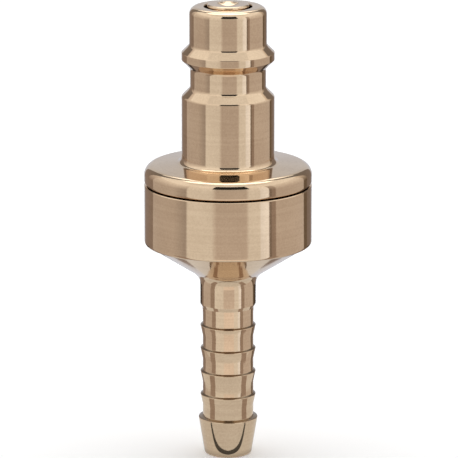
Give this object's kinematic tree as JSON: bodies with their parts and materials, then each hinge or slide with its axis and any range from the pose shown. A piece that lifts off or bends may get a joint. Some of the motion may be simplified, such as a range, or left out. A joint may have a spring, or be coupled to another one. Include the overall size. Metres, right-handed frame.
{
  "type": "air quick coupling",
  "caption": "Turned brass plug of an air quick coupling: a grooved nose with a sprung poppet valve, a round screwed collar and a ribbed hose barb.",
  "frame": {"origin": "centre of the hose barb's end face", "axes": "+Z along the common axis, from the barb to the nose's tip; the part is round, so X and Y are free"},
  "size_m": [0.0218, 0.0218, 0.0597],
  "materials": {
    "turned_brass": "fine turned, bright",
    "spring_steel": "drawn wire",
    "seal_rubber": "smooth matt"
  },
  "bodies": {
    "housing": {"plug_body": "turned_brass", "barb_body": "turned_brass", "body_seal": "seal_rubber", "valve_guide": "turned_brass", "valve_spring": "spring_steel"},
    "poppet": {"poppet": "turned_brass", "poppet_seal": "seal_rubber"}
  },
  "joints": [
    {"name": "poppet_push", "type": "slide", "parent": "housing", "child": "poppet", "axis": [0, 0, -1], "range_m": [0, 0.003], "stiffness_N_per_m": 600, "springref_m": -0.005, "deforming": ["valve_spring"]}
  ]
}
